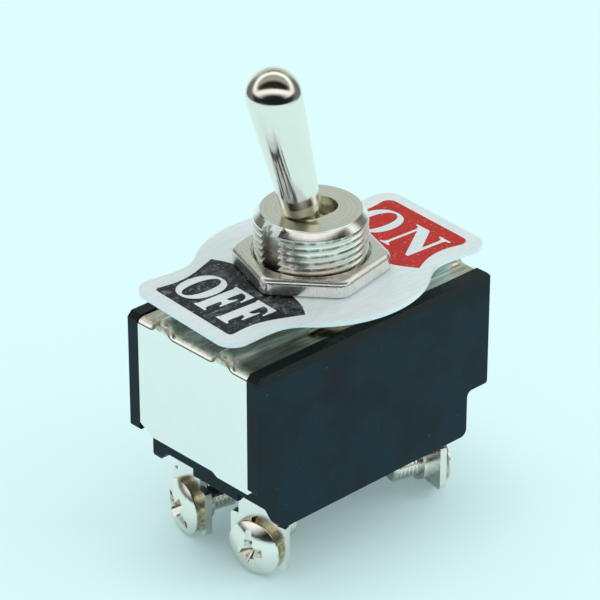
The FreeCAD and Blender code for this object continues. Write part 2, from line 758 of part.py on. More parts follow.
def common_terminal(side):
    """ON end: runs along the floor to the middle and turns up as the fulcrum."""
    top = INSIDE_FLOOR + TERMINAL_SHEET
    shape = bent(splayed(blade(top)), strip(-FULCRUM_RADIUS, top), top)
    half = FULCRUM_WIDTH / 2
    across = (POLE_Y - half, POLE_Y + half)
    post = box((-FULCRUM_RADIUS, FULCRUM_RADIUS), across, (INSIDE_FLOOR, FULCRUM))
    edge = rod(FULCRUM_RADIUS, vec(0, POLE_Y - half, FULCRUM), vec(0, POLE_Y + half, FULCRUM))
    shape = shape.fuse(post).fuse(edge)
    return mirrored(shape, False, side < 0)


# Screws and washers, drawn along +X from a blade's outer face
def along_blade(shape, name):
    """Moves a piece drawn along Z from a blade's face to its own terminal."""
    shape.rotate(ORIGIN, Y_AXIS, 90)
    shape.translate(vec(0, 0, SCREW_HEIGHT))
    return mirrored(splayed(shape), name.endswith("off"), name.startswith("near"))


def screw(name):
    """Pan head with a slot and a cross, over a plain shank of the thread's size."""
    seat = WASHER
    tip = seat - SCREW_LENGTH
    edges = half_section([
        (0, seat + HEAD_HEIGHT),
        (0, tip),
        (SCREW_RADIUS - SCREW_POINT, tip),
        (SCREW_RADIUS, tip + SCREW_POINT),
        (SCREW_RADIUS, seat),
        (HEAD_RADIUS, seat),
        (HEAD_RADIUS, seat + HEAD_RIM),
    ])
    dome = (HEAD_RADIUS * 0.66, seat + HEAD_RIM + (HEAD_HEIGHT - HEAD_RIM) * 0.62)
    edges.append(arc((HEAD_RADIUS, seat + HEAD_RIM), dome, (0, seat + HEAD_HEIGHT)))
    shape = turned(edges)
    half = DRIVE_WIDTH / 2
    depth = (seat + HEAD_HEIGHT - DRIVE_DEPTH, seat + HEAD_HEIGHT + OVER)
    slot = box((-HEAD_RADIUS - OVER, HEAD_RADIUS + OVER), (-half, half), depth)
    cross = box((-half, half), (-CROSS_LENGTH / 2, CROSS_LENGTH / 2), depth)
    shape = shape.cut(slot.fuse(cross))
    shape.rotate(ORIGIN, Z_AXIS, SCREW_TURNS[name])
    return along_blade(shape, name)


def lock_washer(name):
    """Split ring under the head."""
    shape = rod(WASHER_OUTER, ORIGIN, vec(0, 0, WASHER))
    shape = shape.cut(rod(WASHER_INNER, vec(0, 0, -OVER), vec(0, 0, WASHER + OVER)))
    half = WASHER_SPLIT / 2
    split = box((0, WASHER_OUTER + OVER), (-half, half), (-OVER, WASHER + OVER))
    split.rotate(vec(0, 0, WASHER / 2), X_AXIS, 30)
    shape = shape.cut(split)
    shape.rotate(ORIGIN, Z_AXIS, SCREW_TURNS[name] + 90)
    return along_blade(shape, name)


# Nuts and legend plate on the bushing
def hex_nut(low, thickness, turn):
    """Thin stamped hexagon nut with a rounded upper edge and a bevel below."""
    across = NUT_FLATS / 2 / math.cos(math.pi / 6)
    high = low + thickness
    angles = [math.radians(turn + 60 * k) for k in range(6)]
    corners = [(across * math.cos(angle), across * math.sin(angle), NUT_CORNER) for angle in angles]
    shape = plan(corners, low, high)
    upper = [edge for edge in shape.Edges if edge.BoundBox.ZMin > high - 1e-6]
    shape = shape.makeFillet(NUT_ROUND, upper)
    lower = [edge for edge in shape.Edges if edge.BoundBox.ZMax < low + 1e-6]
    shape = shape.makeChamfer(NUT_BEVEL, lower)
    hole_radius = THREAD_MEETS + THREAD_GAP
    hole = turned(half_section([
        (0, low - OVER),
        (hole_radius, low - OVER),
        (hole_radius, high - NUT_COUNTERSINK),
        (hole_radius + NUT_COUNTERSINK + OVER, high + OVER),
        (0, high + OVER),
        (0, low - OVER),
    ]))
    return shape.cut(hole)


def legend_plate():
    """Flat plate: a round middle with a flared wing at each end. It lies a little off centre in its loose hole."""
    half = PLATE_LENGTH / 2
    wing = [
        (half, -PLATE_END_WIDTH / 2, PLATE_CORNER),
        (half, PLATE_END_WIDTH / 2, PLATE_CORNER),
        (PLATE_WAIST_PLACE, PLATE_WAIST / 2, 0),
        (-PLATE_WAIST_PLACE, PLATE_WAIST / 2, 0),
        (-half, PLATE_END_WIDTH / 2, PLATE_CORNER),
        (-half, -PLATE_END_WIDTH / 2, PLATE_CORNER),
        (-PLATE_WAIST_PLACE, -PLATE_WAIST / 2, 0),
        (PLATE_WAIST_PLACE, -PLATE_WAIST / 2, 0),
    ]
    shape = plan(wing, PLATE_UNDER, PLATE_TOP)
    shape = shape.fuse(rod(PLATE_ROUND, vec(0, 0, PLATE_UNDER), vec(0, 0, PLATE_TOP)))
    inner = [edge for edge in shape.Edges if upright(edge) and in_armpit(edge)]
    shape = shape.makeFillet(PLATE_INNER_ROUND, inner)
    hole = rod(THREAD_RADIUS + PLATE_HOLE_GAP, vec(0, 0, PLATE_UNDER - OVER), vec(0, 0, PLATE_TOP + OVER))
    shape = shape.cut(hole)
    shape.rotate(ORIGIN, Z_AXIS, PLATE_TURN)
    shape.translate(vec(0, PLATE_SHIFT, 0))
    return shape


def upright(edge):
    limits = edge.BoundBox
    return limits.ZLength > PLATE / 2 and limits.XLength < 1e-6 and limits.YLength < 1e-6


def in_armpit(edge):
    """True where a wing runs into the round middle."""
    middle = edge.CenterOfMass
    return abs(math.hypot(middle.x, middle.y) - PLATE_ROUND) < 1e-3 and abs(middle.x) > PLATE_ROUND / 3


def main():
    os.makedirs("parts", exist_ok=True)
    save("housing", housing())
    save("metal_cover", cover())
    save("bushing", bushing())
    save("pivot_pin", pivot_pin())
    save("lever", lever())
    save("back_nut", hex_nut(BEAD_TOP, BACK_NUT, 0))
    save("legend_plate", legend_plate())
    save("mounting_nut", hex_nut(PLATE_TOP, NUT, NUT_TURN))
    save("carrier", carrier())
    for name, side in (("near", -1), ("far", 1)):
        save("plunger_" + name, plunger(side))
        save("plunger_spring_" + name, plunger_spring(side))
        save("rocker_" + name, rocker(side))
        save("rocker_contact_" + name, rocker_contact(side))
        save("fixed_contact_" + name, fixed_contact(side))
        save("fixed_terminal_" + name, fixed_terminal(side))
        save("common_terminal_" + name, common_terminal(side))
    for place in SCREW_TURNS:
        save("terminal_screw_" + place, screw(place))
        save("lock_washer_" + place, lock_washer(place))


main()
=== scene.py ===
# %% [markdown]
# # A panel toggle switch
# This lesson dresses a two-pole toggle switch: a dark moulded housing with a bright
# metal cover folded over it, a threaded bushing with a bat lever, a printed legend
# plate and four screw terminals. The solid pieces come from the frame at their real
# size. Most of them keep their shape here and only get a finish. Threads, screw heads
# and printing are too fine for the frame, so they are made in this file.

# %% The frame
import math

import bmesh
import bpy
from mathutils import Matrix, Vector


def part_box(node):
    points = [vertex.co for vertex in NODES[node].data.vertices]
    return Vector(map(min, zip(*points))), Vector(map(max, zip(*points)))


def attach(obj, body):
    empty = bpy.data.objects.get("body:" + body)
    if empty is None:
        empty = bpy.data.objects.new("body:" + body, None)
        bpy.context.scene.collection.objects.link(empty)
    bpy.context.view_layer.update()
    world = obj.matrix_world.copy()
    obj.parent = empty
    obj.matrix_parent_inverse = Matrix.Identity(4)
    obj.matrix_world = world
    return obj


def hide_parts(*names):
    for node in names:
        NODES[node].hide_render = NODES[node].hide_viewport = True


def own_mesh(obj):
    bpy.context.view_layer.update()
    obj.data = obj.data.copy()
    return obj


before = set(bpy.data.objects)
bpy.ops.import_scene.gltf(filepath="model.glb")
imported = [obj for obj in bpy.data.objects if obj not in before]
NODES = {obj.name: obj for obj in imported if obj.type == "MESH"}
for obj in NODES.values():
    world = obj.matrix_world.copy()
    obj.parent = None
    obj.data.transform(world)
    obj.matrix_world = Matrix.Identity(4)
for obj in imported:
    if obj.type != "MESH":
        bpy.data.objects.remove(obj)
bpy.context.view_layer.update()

MM = 0.001
print("pieces in the frame:", len(NODES))

# %% [markdown]
# ## The camera
# The photograph is taken with a long lens from the near OFF corner, looking down.
# The place, the point looked at and the lens were worked out from the picture, by
# lines of known length and direction. A long lens far away keeps the sides of the
# housing almost parallel, which is half of what makes a product picture look calm.

# %% Camera
EYE = Vector((-203.66, -213.62, 186.96)) * MM
AIM = Vector((-0.82, 0.78, 24.97)) * MM
SENSOR_WIDTH = 36.0
FOCAL_LENGTH = 196.5
camera = bpy.data.objects.new("camera", bpy.data.cameras.new("camera"))
camera.data.sensor_width = SENSOR_WIDTH
camera.data.lens = FOCAL_LENGTH
camera.data.clip_start = 0.01
camera.location = EYE
camera.rotation_euler = (AIM - EYE).to_track_quat("-Z", "Y").to_euler()
bpy.context.scene.collection.objects.link(camera)
bpy.context.scene.camera = camera
print("camera distance in mm:", round((AIM - EYE).length / MM))

# %% [markdown]
# ## Values on wires
# A finish is a small sum: grain plus smudges, times a mask. Written as boxes and
# wires that sum is hard to read, so this class lets Python do it. It wraps a socket,
# and each operator adds one Math node. The reflected forms are there so that
# `1 - mask` works as well as `mask - 1`.

# %% Wire
class Wire:
    """One value in a node tree. Sums and products of wires become Math nodes."""

    def __init__(self, board, socket):
        self.board = board
        self.socket = socket

    def math(self, operation, *values):
        return self.board.node("ShaderNodeMath", {"operation": operation}, dict(enumerate(values)))

    def __add__(self, other):
        return self.math("ADD", self, other)

    def __sub__(self, other):
        return self.math("SUBTRACT", self, other)

    def __rsub__(self, other):
        return self.math("SUBTRACT", other, self)

    def __mul__(self, other):
        return self.math("MULTIPLY", self, other)

    def __truediv__(self, other):
        return self.math("DIVIDE", self, other)

    def __pow__(self, other):
        return self.math("POWER", self, other)

    def __abs__(self):
        return self.math("ABSOLUTE", self)

    __radd__ = __add__
    __rmul__ = __mul__


def larger(first, second):
    """The larger of two wires."""
    return first.math("MAXIMUM", first, second)


def between(amount, low, high):
    """A number between two, by a wire."""
    return amount * (high - low) + low


# %% [markdown]
# ## Node boards
# Materials, the world and Geometry Nodes all use the same kind of tree. A NodeBoard
# holds one of them, and its `node` method adds any node: the settings go in first,
# because some of them change which sockets the node has, and then the values or
# wires of its sockets. The other methods are the few nodes that every tree here
# needs again and again.

# %% Node board
class NodeBoard:
    """A node tree, and the means to add nodes to it."""

    def __init__(self, tree):
        self.tree = tree

    def feed(self, node, socket, value):
        """Links a wire to a socket, or sets the socket's own value."""
        target = node.inputs[socket]
        if isinstance(value, Wire):
            self.tree.links.new(value.socket, target)
        elif target.type == "RGBA":
            target.default_value = (*value, 1.0)
        else:
            target.default_value = value

    def node(self, kind, settings=None, sockets=None, out=0):
        """Adds a node and returns one of its outputs as a wire."""
        made = self.tree.nodes.new(kind)
        for name, value in (settings or {}).items():
            setattr(made, name, value)
        for socket, value in (sockets or {}).items():
            self.feed(made, socket, value)
        return Wire(self, made.outputs[out])

    def mask(self, value, low, high):
        """0 up to low and 1 from high, smooth between. It falls where low is above high."""
        return self.node("ShaderNodeMapRange", {"interpolation_type": "SMOOTHSTEP"}, {
            "Value": value, "From Min": low, "From Max": high, "To Min": 0.0, "To Max": 1.0})

    def mix(self, amount, first, second):
        """A colour between two, by a wire."""
        return self.node("ShaderNodeMix", {"data_type": "RGBA"}, {0: amount, 6: first, 7: second}, out=2)

    def along(self, way, direction):
        """How far a way lies along a direction."""
        return self.node("ShaderNodeVectorMath", {"operation": "DOT_PRODUCT"},
                         {0: way, 1: direction}, out="Value")

    def ray(self, kind):
        """1 for rays of one kind, such as Camera or Glossy, and 0 for all others."""
        return self.node("ShaderNodeLightPath", out="Is " + kind + " Ray")


# %% [markdown]
# ## Finishes
# A Finish is the board of one material. The patterns below it are the ones that
# every metal and plastic here needs: a place on the piece in millimetres, a noise at
# a given grain size, and a bump of a given depth. Sizes stay real in this way: a
# grain of 0.16 mm is 0.16 mm on the lever and on the housing alike.

# %% Finish
class Finish(NodeBoard):
    """A material with a Principled shader, and the patterns that drive it."""

    def __init__(self, name, sockets):
        self.material = bpy.data.materials.new(name)
        self.material.use_nodes = True
        super().__init__(self.material.node_tree)
        self.shader = self.tree.nodes["Principled BSDF"]
        self.place = self.node("ShaderNodeTexCoord", out="Object")
        for socket, value in sockets.items():
            self.set(socket, value)

    def set(self, socket, value):
        self.feed(self.shader, socket, value)

    def coordinate(self, axis):
        """X, Y or Z on the piece, in millimetres."""
        return self.node("ShaderNodeSeparateXYZ", {}, {"Vector": self.place}, out=axis) / MM

    def noise(self, grain_mm, detail=3.0, stretch=(1, 1, 1), turn=0.0, shift=(0, 0, 0)):
        """Noise whose blobs are about grain_mm wide, drawn out along an axis by stretch."""
        place = self.node("ShaderNodeMapping", {}, {
            "Vector": self.place,
            "Location": shift,
            "Rotation": (0, 0, turn),
            "Scale": tuple(1 / (grain_mm * MM * s) for s in stretch),
        })
        return self.node("ShaderNodeTexNoise", {}, {
            "Vector": place, "Scale": 1.0, "Detail": detail, "Roughness": 0.55})

    def bump(self, height, depth_mm, strength):
        self.set("Normal", self.node("ShaderNodeBump", {}, {
            "Height": height, "Distance": depth_mm * MM, "Strength": strength}))

    def done(self):
        """The finished material, with a word on how much went into it."""
        print(self.material.name, "nodes:", len(self.tree.nodes))
        return self.material


# %% [markdown]
# ## Moulded housing
# The housing is a dark blue-black moulded resin. It is not quite even: the resin
# flows and leaves faint clouds, and the mould's texture gives it a soft sheen. A few
# pale specks of dust sit on it, and the rim beside the cover is darker and smoother.
# Very dark plastics look like holes in the picture if they are only black, so the
# roughness varies as well, and the sheen shows the form.

# %% Housing finish
HOUSING_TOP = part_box("housing")[1].z / MM
RIM_DEPTH = 0.90
RIM_TONE = (0.0035, 0.0040, 0.0030)
DUST = (0.32, 0.36, 0.38)


def moulded(name, dark, light, rough):
    """Resin that is clouded between two tones."""
    f = Finish(name, {"Specular IOR Level": 0.17})
    clouds = f.mask(f.noise(6.5, 5.0), 0.30, 0.66)
    grain = f.noise(0.16, 2.0)
    specks = f.mask(f.noise(0.45, 1.0, shift=(3, 7, 1)), 0.775, 0.80)
    rim_from = HOUSING_TOP - RIM_DEPTH
    rim = f.mask(f.coordinate("Z") + clouds * 0.1, rim_from - 0.15, rim_from)
    resin = f.mix(rim * 0.85, f.mix(clouds, dark, light), RIM_TONE)
    f.set("Base Color", f.mix(specks * 0.12, resin, DUST))
    f.set("Roughness", between(clouds, rough - 0.06, rough + 0.10) + grain * 0.06 - rim * 0.18)
    f.bump(grain + clouds * 0.4, 0.012, 0.6)
    return f.done()


housing_finish = moulded("housing_resin", (0.0008, 0.0075, 0.0120), (0.0066, 0.0255, 0.0370), 0.46)
carrier_finish = moulded("carrier_resin", (0.115, 0.062, 0.032), (0.150, 0.085, 0.045), 0.5)

# %% [markdown]
# ## Bright nickel
# Lever, bushing, nuts and cover all have the same nickel plating over different
# surfaces. The lever is polished before it is plated, the bushing is turned on a
# lathe, the nuts are punched, and the cover is rolled sheet. So one function makes
# the plating of the lever, bushing and nuts, and each says how rough and how worn it
# is, which fine lines show through, and where dirt, painted shade and a painted
# reflection lie on it. The cover's finish is made on its own below.

# %% Nickel plating
NICKEL = (0.91, 0.87, 0.80)
NICKEL_BRIGHT = (0.95, 0.93, 0.885)
NICKEL_DULL = (0.74, 0.70, 0.62)
LINE_TONE = (0.52, 0.55, 0.51)
# Tone of the darker thread roots and keyway; in the keyway it is painted shade with dirt.
SHADE_AND_GRIME = (0.115, 0.095, 0.055)


def nickel(name, rough, wear, pitted, clean, lines=None, line_depth=0.004, marks=None, painted_light_and_dirt_tone=SHADE_AND_GRIME):
    """Nickel over a surface. Lines and marks are functions that draw them on the finish; the marks are dirt, painted
    shade and painted reflection, mixed in their tone.
    """
    f = Finish(name, {"Metallic": 1.0})
    smudge = f.noise(2.6, 4.0)
    fine = f.noise(0.22, 3.0, shift=(1, 2, 3))
    pits = f.mask(f.noise(0.34, 1.0, shift=(5, 1, 9)), 0.70, 0.78) * pitted
    plated = f.mix(smudge * wear + pits, clean, NICKEL_DULL)
    rough_here = between(f.mask(smudge, 0.35, 0.70), rough, rough + wear * 0.28) + fine * 0.04
    relief = fine * 0.5 - pits
    # The marks carry painted light and dirt: a painted reflection on the lever's foot, painted shade with dirt on the
    # bushing.
    if marks:
        painted_light_and_dirt = marks(f)
        plated = f.mix(painted_light_and_dirt, plated, painted_light_and_dirt_tone)
        rough_here = rough_here + painted_light_and_dirt * 0.25
    if lines:
        drawn = lines(f)
        relief = relief + drawn * 1.4
        plated = f.mix(f.mask(drawn, 0.50, 0.66) * 0.34, plated, LINE_TONE)
    f.set("Base Color", plated)
    f.set("Roughness", rough_here + pits * 0.2)
    f.bump(relief, line_depth, 0.55)
    return f.done()


# %% [markdown]
# ### The lever
# The lever leans 15.5 degrees to the OFF end. Its foot works against the bushing's
# slot and is rubbed dull there, and its pale yellow tint is a painted reflection of
# the slot's warm inside. How far a point is from the pivot along the lever tells
# what belongs to the foot.

# %% Lever finish
BUSHING_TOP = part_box("bushing")[1].z / MM
PIVOT_DEPTH = 4.3
PIVOT = (0.0, 0.0, (BUSHING_TOP - PIVOT_DEPTH) * MM)
LEAN = math.radians(15.5)
LEVER_AXIS = (-math.sin(LEAN), 0.0, math.cos(LEAN))
FOOT = 6.1


def painted_foot_reflection(f):
    """1 on the lever's foot, where a yellow reflection is painted, 0 above it."""
    away = f.node("ShaderNodeVectorMath", {"operation": "SUBTRACT"}, {0: f.place, 1: PIVOT})
    return f.mask(f.along(away, LEVER_AXIS) / MM, FOOT + 0.25, FOOT - 0.05)


# The foot's pale yellow tone is a painted reflection.
lever_finish = nickel("lever_nickel", 0.075, 0.22, pitted=0.3, clean=NICKEL,
                      marks=painted_foot_reflection, painted_light_and_dirt_tone=(0.93, 0.90, 0.68))

# %% [markdown]
# ### The bushing
# A lathe leaves fine rings round the bushing's axis, which a noise shows when it is
# read by radius and height instead of by place. The roots of the thread are darker in
# patches, and low in the keyway darker still, with painted shade and a painted
# reflection of the dark ink there besides dirt; the bevel at the top is left as it is.

# %% Bushing finish
CREST = 5.9
RING_WIDTH, RING_HEIGHT = 0.12, 0.4
KEYWAY_INNER, KEYWAY_OUTER = 4.55, 5.25


def round_axis(f):
    """The distance from the bushing's axis and the height, in millimetres."""
    x, y = f.coordinate("X"), f.coordinate("Y")
    return (x * x + y * y) ** 0.5, f.coordinate("Z")


def turned_lines(f):
    """Rings that a lathe leaves round the bushing's axis."""
    radius, height = round_axis(f)
    rings = f.node("ShaderNodeCombineXYZ", {}, {
        "X": radius / RING_WIDTH, "Y": height / RING_HEIGHT, "Z": 0.0})
    return f.node("ShaderNodeTexNoise", {}, {"Vector": rings, "Scale": 1.0, "Detail": 2.0})


def groove_shade_and_grime(f):
    """Darker thread roots in patches, and painted shade with dirt low in the keyway."""
    radius, height = round_axis(f)
    under_bevel = f.mask(height, BUSHING_TOP - 0.7, BUSHING_TOP - 0.95)
    root = f.mask(radius, CREST - 0.16, CREST - 0.34) * f.mask(f.noise(0.9, 4.0), 0.30, 0.62)
    # Low in the keyway: painted shade and a painted reflection of the dark ink, with dirt.
    keyway = (f.mask(radius, KEYWAY_OUTER, KEYWAY_OUTER - 0.15)
              * f.mask(radius, KEYWAY_INNER, KEYWAY_INNER + 0.15))
    low = f.mask(height, BUSHING_TOP - 1.4, BUSHING_TOP - 2.6)
    return (root * 0.6 * (1 - keyway) + keyway * low * 0.65) * under_bevel


bushing_finish = nickel("bushing_nickel", 0.13, 0.30, pitted=0.0, clean=NICKEL_BRIGHT,
                        lines=turned_lines, line_depth=0.005, marks=groove_shade_and_grime)

# %% [markdown]
# ### The nuts
# The nuts are punched out of sheet and tumbled. The punch leaves lines across their
# thickness and the tumbling leaves them satin. A noise that is drawn out upright
# gives those lines on all six sides at once, and hardly shows on the flat top.

# %% Nut finish
def upright_grain(f):
    """Lines across the nut's thickness, from the punch."""
    return f.noise(0.10, 2.0, stretch=(1, 1, 30))


nut_finish = nickel("nut_nickel", 0.20, 0.30, pitted=0.4, clean=NICKEL_BRIGHT, lines=upright_grain)

# %% [markdown]
# ### The cover
# The cover is rolled sheet, folded down at both ends. The flaps are bright. The bends
# are stretched by the fold, which makes them dull and brownish. The top lies in the
# shade of the plate, and that shade is painted into its colour as a darker tone in
# streaks. Height and distance from the middle tell the three apart, and a little noise
# keeps the borders from being straight.

# %% Cover finish
COVER_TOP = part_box("metal_cover")[1].z / MM
COVER_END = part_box("metal_cover")[1].x / MM
BEND_FROM, BEND_FULL = 1.35, 0.95
FLAP_TONE = (0.95, 0.945, 0.915)
# The top's tones are painted shade from the plate above it.
TOP_SHADE_DARK, TOP_SHADE_LIGHT = (0.44, 0.42, 0.34), (0.74, 0.73, 0.66)
BEND_DARK, BEND_LIGHT = (0.50, 0.47, 0.36), (0.78, 0.76, 0.63)


def folded_sheet():
    """Nickel over rolled sheet: bright flaps, satin bends and a top with painted shade."""
    f = Finish("cover_nickel", {"Metallic": 1.0})
    waver = f.noise(0.9, 4.0) * 0.5 - 0.25
    high = f.mask(f.coordinate("Z") + waver * 0.5, COVER_TOP - 1.30, COVER_TOP - 0.95)
    bend = high * f.mask(abs(f.coordinate("X")) + waver, COVER_END - BEND_FROM, COVER_END - BEND_FULL)
    smudge = f.noise(2.6, 4.0)
    streaks = f.noise(0.30, 4.0, stretch=(14, 1, 1))
    # Painted shade on the top, darker and lighter in streaks.
    top_shade = f.mix(f.mask(streaks, 0.38, 0.62), TOP_SHADE_DARK, TOP_SHADE_LIGHT)
    tone = f.mix(high, f.mix(smudge * 0.2, FLAP_TONE, NICKEL_DULL), top_shade)
    satin = f.mix(f.mask(f.noise(0.7, 5.0), 0.35, 0.65), BEND_DARK, BEND_LIGHT)
    rolled_lines = f.noise(0.12, 2.0, stretch=(26, 1, 1))
    f.set("Base Color", f.mix(bend, tone, satin))
    f.set("Roughness", between(smudge, 0.08, 0.16) + bend * 0.22)
    f.bump(rolled_lines + bend * f.noise(0.35, 4.0) * 5.0, 0.004, 0.55)
    return f.done()


cover_finish = folded_sheet()

# %% [markdown]
# ## Brushed plate
# The lines are a noise drawn out thirty times along the plate, over a broader one
# that makes some bands paler. The plate is turned four degrees on the bushing, so
# the noise is turned as well. Its underside is in the dark gap over the cover, and
# that shade is painted on it as a dark tone.

# %% Plate finish
PLATE_TURN = math.radians(-4.0)
PLATE_PLACE = Vector((0, -0.25, 0))
PLATE_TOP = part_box("legend_plate")[1].z / MM
BRUSHED_DARK, BRUSHED_LIGHT = (0.76, 0.87, 0.91), (0.92, 0.99, 1.0)
PLATE_DIRT = (0.35, 0.34, 0.31)
UNDERSIDE_SHADE = (0.10, 0.10, 0.085)


def brushed_plate():
    """Metal brushed along the plate's length, with painted shade on the underside."""
    f = Finish("brushed_aluminium", {"Metallic": 0.4, "Specular IOR Level": 0.6})
    fine = f.noise(0.06, 2.0, stretch=(30, 1, 1), turn=-PLATE_TURN)
    broad = f.noise(0.42, 3.0, stretch=(9, 1, 1), turn=-PLATE_TURN, shift=(4, 0, 2))
    marks = f.mask(f.noise(0.5, 2.0, shift=(8, 2, 5)), 0.70, 0.76)
    # Painted shade on the underside, which lies in the dark gap over the cover.
    underside_shade = f.mask(f.coordinate("Z"), PLATE_TOP - 0.7, PLATE_TOP - 0.9)
    tone = f.mix(f.mask(fine * 0.72 + broad * 0.28, 0.34, 0.68), BRUSHED_DARK, BRUSHED_LIGHT)
    tone = f.mix(marks * 0.35, tone, PLATE_DIRT)
    f.set("Base Color", f.mix(underside_shade, tone, UNDERSIDE_SHADE))
    f.set("Roughness", between(broad, 0.34, 0.52))
    f.bump(fine + broad * 0.3, 0.008, 0.6)
    return f.done()


plate_finish = brushed_plate()

# %% [markdown]
# ## Printing inks
# The inks lie on the plate as a film. The black one is scuffed down to grey in
# patches, the red one has a few pale specks. Two noises of different size are added
# for the patches, because wear is rough at the edge and wide in the middle.

# %% Inks
CHIP_TONE = (0.60, 0.58, 0.55)


def printed_ink(name, colour, scuffed, low, high, specks):
    """Ink that is scuffed where the patches' noise is between low and high, and above."""
    f = Finish(name, {"Specular IOR Level": 0.25})
    wear = f.noise(0.62, 5.0, stretch=(1.4, 1, 1), turn=-PLATE_TURN) * 0.6 + f.noise(2.4, 3.0) * 0.4
    patches = f.mask(wear, low, high)
    dots = f.mask(f.noise(0.30, 3.0, shift=(2, 9, 4)), 0.62, 0.70)
    f.set("Base Color", f.mix(dots * specks, f.mix(patches, colour, scuffed), CHIP_TONE))
    f.set("Roughness", between(patches, 0.34, 0.55))
    f.bump(patches * 0.6 + f.noise(0.12, 2.0), 0.006, 0.6)
    return f.done()


black_ink = printed_ink("black_ink", (0.002, 0.005, 0.007), (0.130, 0.165, 0.175), 0.48, 0.70, 0.55)
red_ink = printed_ink("red_ink", (0.44, 0.008, 0.004), (0.56, 0.030, 0.018), 0.44, 0.70, 0.45)

# %% [markdown]
# ## Terminals, screws and the hidden metals
# The terminals are stamped from plated sheet and are duller than the cover. Their
# screws are plated in bulk, so they knock against each other and come out with small
# dents and a warmer, stained tone in the recess. The split washers under the heads
# are yellower and have gone brown in places. The rockers inside are copper alloy and
# their contact rivets silver.

# %% Terminal and screw finishes
def stamped_metal(name, bright, stained, rough, stain_from):
    """Dented metal with stains where the noise is above stain_from."""
    f = Finish(name, {"Metallic": 1.0})
    stain = f.mask(f.noise(1.1, 5.0), stain_from, stain_from + 0.22)
    dents = f.noise(0.28, 3.0, shift=(6, 3, 1))
    f.set("Base Color", f.mix(stain, bright, stained))
    f.set("Roughness", between(stain, rough, rough + 0.22) + dents * 0.08)
    f.bump(dents, 0.012, 0.5)
    return f.done()


terminal_finish = stamped_metal("terminal_plating", (0.90, 0.88, 0.84), (0.74, 0.71, 0.65), 0.22, 0.60)
screw_finish = stamped_metal("screw_plating", (0.90, 0.87, 0.81), (0.62, 0.57, 0.47), 0.10, 0.62)
washer_finish = stamped_metal("washer_plating", (0.66, 0.59, 0.40), (0.30, 0.24, 0.12), 0.20, 0.42)
steel_finish = stamped_metal("spring_steel", (0.58, 0.58, 0.57), (0.40, 0.39, 0.37), 0.25, 0.55)
copper_finish = stamped_metal("rocker_copper", (0.72, 0.42, 0.25), (0.50, 0.27, 0.15), 0.28, 0.50)
silver_finish = stamped_metal("contact_silver", (0.82, 0.81, 0.78), (0.60, 0.58, 0.54), 0.22, 0.55)

# %% [markdown]
# ## Dressing the pieces of the frame
# Each piece of the frame keeps its shape and gets a finish. Pieces come in families,
# so the start of a name is enough to choose the finish. Where two starts fit, as for
# a rocker and its contact, the longer one is taken.

# %% Dress
FAMILIES = {
    "housing": housing_finish,
    "metal_cover": cover_finish,
    "bushing": bushing_finish,
    "lever": lever_finish,
    "back_nut": nut_finish,
    "mounting_nut": nut_finish,
    "legend_plate": plate_finish,
    "carrier": carrier_finish,
    "plunger_spring": steel_finish,
    "plunger": carrier_finish,
    "pivot_pin": steel_finish,
    "rocker_contact": silver_finish,
    "rocker": copper_finish,
    "fixed_contact": silver_finish,
    "fixed_terminal": terminal_finish,
    "common_terminal": terminal_finish,
    "terminal_screw": screw_finish,
    "lock_washer": washer_finish,
}


def finish_of(name):
    starts = [start for start in FAMILIES if name.startswith(start)]
    return FAMILIES[max(starts, key=len)]


def give_finish(mesh, finish):
    mesh.materials.clear()
    mesh.materials.append(finish)


for name, piece in NODES.items():
    give_finish(piece.data, finish_of(name))
print("dressed:", len(NODES))

# %% [markdown]
# ## Threads
# A thread is one groove that follows a helix, so Geometry Nodes make it: a spiral
# curve, a four-cornered profile turned so that its wide side faces out, and Curve to
# Mesh. The tree has the pitch, the radius and the depth as inputs, because the
# bushing has a fine 0.75 mm pitch and the screws a 0.5 mm one. The groove is then
# taken out of a solid with a Boolean. That works best on shapes whose size is near
# one, so it is all done in millimetres and shrunk at the end.

# %% Thread groove tree
GROOVE_SIZES = ("Crest radius", "Pitch", "Turns", "Depth", "Mouth", "Root")


def groove_tree():
    tree = bpy.data.node_groups.new("thread_groove", "GeometryNodeTree")
    tree.is_modifier = True
    tree.interface.new_socket("Geometry", in_out="OUTPUT", socket_type="NodeSocketGeometry")
    for name in GROOVE_SIZES:
        tree.interface.new_socket(name, in_out="INPUT", socket_type="NodeSocketFloat")
    tree.interface.new_socket("Metal", in_out="INPUT", socket_type="NodeSocketMaterial")
    board = NodeBoard(tree)
    crest, pitch, turns, depth, mouth, root = (board.node("NodeGroupInput", out=name) for name in GROOVE_SIZES)
    middle = crest - depth * 0.5
    helix = board.node("GeometryNodeCurveSpiral", {}, {
        "Resolution": 72, "Rotations": turns, "Start Radius": middle, "End Radius": middle,
        "Height": pitch * turns, "Reverse": True})
    helix = board.node("GeometryNodeSetCurveNormal", {"mode": "Z_UP"}, {"Curve": helix})
    profile = board.node("GeometryNodeCurvePrimitiveQuadrilateral", {"mode": "TRAPEZOID"}, {
        "Bottom Width": root, "Top Width": mouth, "Height": depth, "Offset": 0.0})
    profile = board.node("GeometryNodeTransform", {}, {
        "Geometry": profile, "Rotation": (0.0, 0.0, -math.pi / 2)})
    cut = board.node("GeometryNodeCurveToMesh", {}, {
        "Curve": helix, "Profile Curve": profile, "Fill Caps": True})
    cut = board.node("GeometryNodeRealizeInstances", {}, {"Geometry": cut})
    cut = board.node("GeometryNodeSetMaterial", {}, {
        "Geometry": cut, "Material": board.node("NodeGroupInput", out="Metal")})
    board.feed(tree.nodes.new("NodeGroupOutput"), "Geometry", cut)
    print("groove tree nodes:", len(tree.nodes))
    return tree


GROOVE = groove_tree()

# %% [markdown]
# ### From the tree to a mesh
# An object with the tree as its modifier is only a means here. Its inputs are set by
# the sockets' identifiers, the result is kept as a plain mesh, and the object goes.

# %% Groove
OVERCUT = 0.12


